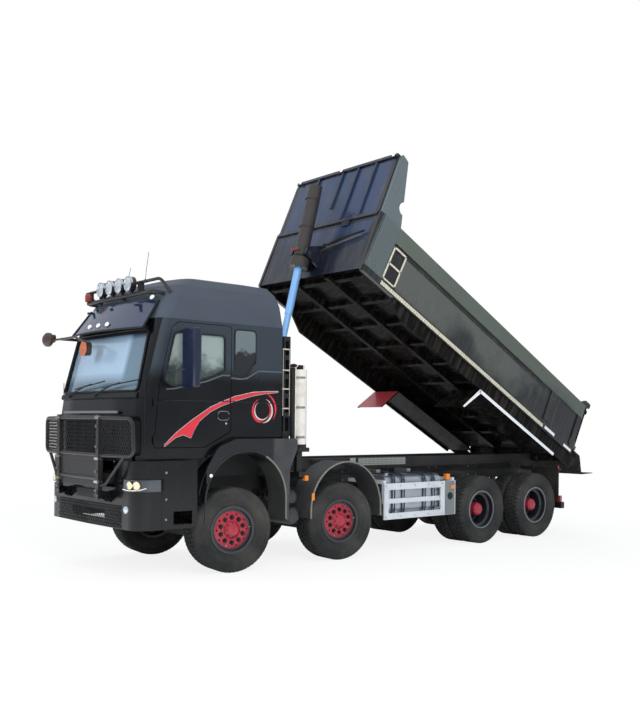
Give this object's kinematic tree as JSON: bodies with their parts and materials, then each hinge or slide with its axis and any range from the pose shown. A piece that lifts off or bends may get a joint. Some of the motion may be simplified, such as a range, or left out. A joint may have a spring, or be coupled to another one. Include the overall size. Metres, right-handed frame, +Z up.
{
  "type": "eight-wheel dump truck",
  "caption": "Heavy dump truck with twin steered axles, a high-roof cab and a steel bed that a front telescopic ram tips rearward; doors, tailgate and bull bar swing.",
  "frame": {"origin": "on the ground, in the middle of the length and width of the truck with its bed raised as shown", "axes": "+X the truck's left, -Y forward, +Z up"},
  "size_m": [3, 9.5143, 5.9006],
  "materials": {
    "chassis_paint": "matt grey-black paint",
    "axle_paint": "black painted casting",
    "spring_steel": "black painted steel",
    "bumper_plastic": "grained dark plastic",
    "lamp_lens": "clear lens",
    "tank_aluminium": "brushed sheet",
    "box_plastic": "grained dark plastic",
    "tank_paint": "black gloss paint",
    "exhaust_steel": "bare steel",
    "intake_plastic": "grained dark plastic",
    "guard_plastic": "grained dark plastic",
    "guard_panel": "light grey paint",
    "cab_paint": "black gloss paint",
    "roof_paint": "dark grey paint",
    "cab_glass": "tinted clear glass",
    "visor_tint": "blue tinted sheet",
    "bar_metal": "black powder coat",
    "grille_plastic": "gloss black",
    "interior_trim": "dark trim",
    "mirror_shell": "gloss black",
    "rim_paint": "red gloss paint",
    "tyre": "road tyre",
    "bed_paint": "dark grey paint",
    "ram_paint": "dark paint",
    "ram_chrome": "ground hard chrome"
  },
  "bodies": {
    "chassis": {"frame_rails": "chassis_paint", "tipper_subframe": "chassis_paint", "axle_beams": "axle_paint", "leaf_springs": "spring_steel", "engine_block": "axle_paint", "propeller_shafts": "axle_paint", "bumper_and_steps": "bumper_plastic", "lamps": "lamp_lens", "fuel_tank": "tank_aluminium", "battery_box": "box_plastic", "air_tanks": "tank_paint", "exhaust_stack": "exhaust_steel", "air_intake": "intake_plastic", "mudguards": "guard_plastic", "side_guards": "guard_panel", "rear_underride": "chassis_paint", "cab_shell": "cab_paint", "cab_roof": "roof_paint", "cab_glass": "cab_glass", "sun_visor": "visor_tint", "roof_light_bar": "bar_metal", "front_grille": "grille_plastic", "cab_interior": "interior_trim", "front_mirrors": "mirror_shell"},
    "knuckle_1_left": {"knuckle_1_left": "axle_paint"},
    "wheel_1_left": {"rim_1_left": "rim_paint", "tyre_1_left": "tyre"},
    "knuckle_1_right": {"knuckle_1_right": "axle_paint"},
    "wheel_1_right": {"rim_1_right": "rim_paint", "tyre_1_right": "tyre"},
    "knuckle_2_left": {"knuckle_2_left": "axle_paint"},
    "wheel_2_left": {"rim_2_left": "rim_paint", "tyre_2_left": "tyre"},
    "knuckle_2_right": {"knuckle_2_right": "axle_paint"},
    "wheel_2_right": {"rim_2_right": "rim_paint", "tyre_2_right": "tyre"},
    "wheel_3_left": {"rim_3_left": "rim_paint", "tyre_3_left": "tyre"},
    "wheel_3_right": {"rim_3_right": "rim_paint", "tyre_3_right": "tyre"},
    "wheel_4_left": {"rim_4_left": "rim_paint", "tyre_4_left": "tyre"},
    "wheel_4_right": {"rim_4_right": "rim_paint", "tyre_4_right": "tyre"},
    "door_left": {"door_left": "cab_paint", "door_glass_left": "cab_glass"},
    "door_right": {"door_right": "cab_paint", "door_glass_right": "cab_glass"},
    "bull_bar": {"bull_bar": "bar_metal"},
    "bed": {"bed_floor": "bed_paint", "bed_side_left": "bed_paint", "bed_side_right": "bed_paint", "bed_front_wall": "bed_paint", "bed_fenders": "bed_paint"},
    "tailgate": {"tailgate": "bed_paint"},
    "ram_cover": {"ram_cover": "ram_paint"},
    "ram_tube_1": {"ram_tube_1": "ram_chrome"},
    "ram_tube_2": {"ram_tube_2": "ram_chrome"},
    "ram_tube_3": {"ram_tube_3": "ram_chrome"},
    "ram_rod": {"ram_rod": "ram_chrome"}
  },
  "joints": [
    {"name": "steer_1_left", "type": "hinge", "parent": "chassis", "child": "knuckle_1_left", "pos_m": [0.93, -3.149, 0.542], "axis": [0, 0, 1], "range_deg": [-26, 44]},
    {"name": "spin_1_left", "type": "hinge", "parent": "knuckle_1_left", "child": "wheel_1_left", "pos_m": [1.00803, -3.16136, 0.542], "axis": [0.9877, -0.1564, 0], "continuous": true},
    {"name": "steer_1_right", "type": "hinge", "parent": "chassis", "child": "knuckle_1_right", "pos_m": [-0.93, -3.149, 0.542], "axis": [0, 0, 1], "range_deg": [-26, 44]},
    {"name": "spin_1_right", "type": "hinge", "parent": "knuckle_1_right", "child": "wheel_1_right", "pos_m": [-1.00803, -3.13664, 0.542], "axis": [0.9877, -0.1564, 0], "continuous": true},
    {"name": "steer_2_left", "type": "hinge", "parent": "chassis", "child": "knuckle_2_left", "pos_m": [0.93, -1.354, 0.542], "axis": [0, 0, 1], "range_deg": [-17.5, 29.5]},
    {"name": "spin_2_left", "type": "hinge", "parent": "knuckle_2_left", "child": "wheel_2_left", "pos_m": [1.00857, -1.36226, 0.542], "axis": [0.9945, -0.1045, 0], "continuous": true},
    {"name": "steer_2_right", "type": "hinge", "parent": "chassis", "child": "knuckle_2_right", "pos_m": [-0.93, -1.354, 0.542], "axis": [0, 0, 1], "range_deg": [-17.5, 29.5]},
    {"name": "spin_2_right", "type": "hinge", "parent": "knuckle_2_right", "child": "wheel_2_right", "pos_m": [-1.00857, -1.34574, 0.542], "axis": [0.9945, -0.1045, 0], "continuous": true},
    {"name": "spin_3_left", "type": "hinge", "parent": "chassis", "child": "wheel_3_left", "pos_m": [1.0915, 1.592, 0.542], "axis": [1, 0, 0], "continuous": true},
    {"name": "spin_3_right", "type": "hinge", "parent": "chassis", "child": "wheel_3_right", "pos_m": [-1.0915, 1.592, 0.542], "axis": [1, 0, 0], "continuous": true},
    {"name": "spin_4_left", "type": "hinge", "parent": "chassis", "child": "wheel_4_left", "pos_m": [1.0915, 2.992, 0.542], "axis": [1, 0, 0], "continuous": true},
    {"name": "spin_4_right", "type": "hinge", "parent": "chassis", "child": "wheel_4_right", "pos_m": [-1.0915, 2.992, 0.542], "axis": [1, 0, 0], "continuous": true},
    {"name": "door_left_hinge", "type": "hinge", "parent": "chassis", "child": "door_left", "pos_m": [1.133, -4.309, 2.36], "axis": [0, 0, -1], "range_deg": [0, 65]},
    {"name": "door_right_hinge", "type": "hinge", "parent": "chassis", "child": "door_right", "pos_m": [-1.133, -4.309, 2.36], "axis": [0, 0, 1], "range_deg": [0, 65]},
    {"name": "bull_bar_pivot", "type": "hinge", "parent": "chassis", "child": "bull_bar", "pos_m": [0, -4.719, 1.03], "axis": [1, 0, 0], "range_deg": [0, 75]},
    {"name": "bed_tip", "type": "hinge", "parent": "chassis", "child": "bed", "pos_m": [0, 3.951, 1.3], "axis": [-1, 0, 0], "range_deg": [-28, 18]},
    {"name": "tailgate_swing", "type": "hinge", "parent": "bed", "child": "tailgate", "pos_m": [0, 4.52979, 2.26073], "axis": [1, 0, 0], "range_deg": [0, 70]},
    {"name": "ram_cover_swing", "type": "hinge", "parent": "bed", "child": "ram_cover", "pos_m": [0, -1.19899, 4.44999], "axis": [-1, 0, 0], "range_deg": [-9.5, 14.5]},
    {"name": "ram_slide_1", "type": "slide", "parent": "ram_cover", "child": "ram_tube_1", "axis": [0, -0.2459, -0.9693], "range_m": [-0.72, 0.47]},
    {"name": "ram_slide_2", "type": "slide", "parent": "ram_tube_1", "child": "ram_tube_2", "axis": [0, -0.2459, -0.9693], "range_m": [-0.72, 0.47]},
    {"name": "ram_slide_3", "type": "slide", "parent": "ram_tube_2", "child": "ram_tube_3", "axis": [0, -0.2459, -0.9693], "range_m": [-0.72, 0.47]},
    {"name": "ram_slide_4", "type": "slide", "parent": "ram_tube_3", "child": "ram_rod", "axis": [0, -0.2459, -0.9693], "range_m": [-0.72, 0.47]}
  ],
  "couplings": [
    {"joint": "steer_1_right", "follows": "steer_1_left", "ratio": 1},
    {"joint": "steer_2_left", "follows": "steer_1_left", "ratio": 0.6667},
    {"joint": "steer_2_right", "follows": "steer_1_left", "ratio": 0.6667},
    {"joint": "ram_cover_swing", "follows": "bed_tip", "ratio": -0.48688},
    {"joint": "ram_slide_1", "follows": "bed_tip", "m_per_rad": 1.4509},
    {"joint": "ram_slide_2", "follows": "bed_tip", "m_per_rad": 1.4509},
    {"joint": "ram_slide_3", "follows": "bed_tip", "m_per_rad": 1.4509},
    {"joint": "ram_slide_4", "follows": "bed_tip", "m_per_rad": 1.4509}
  ]
}
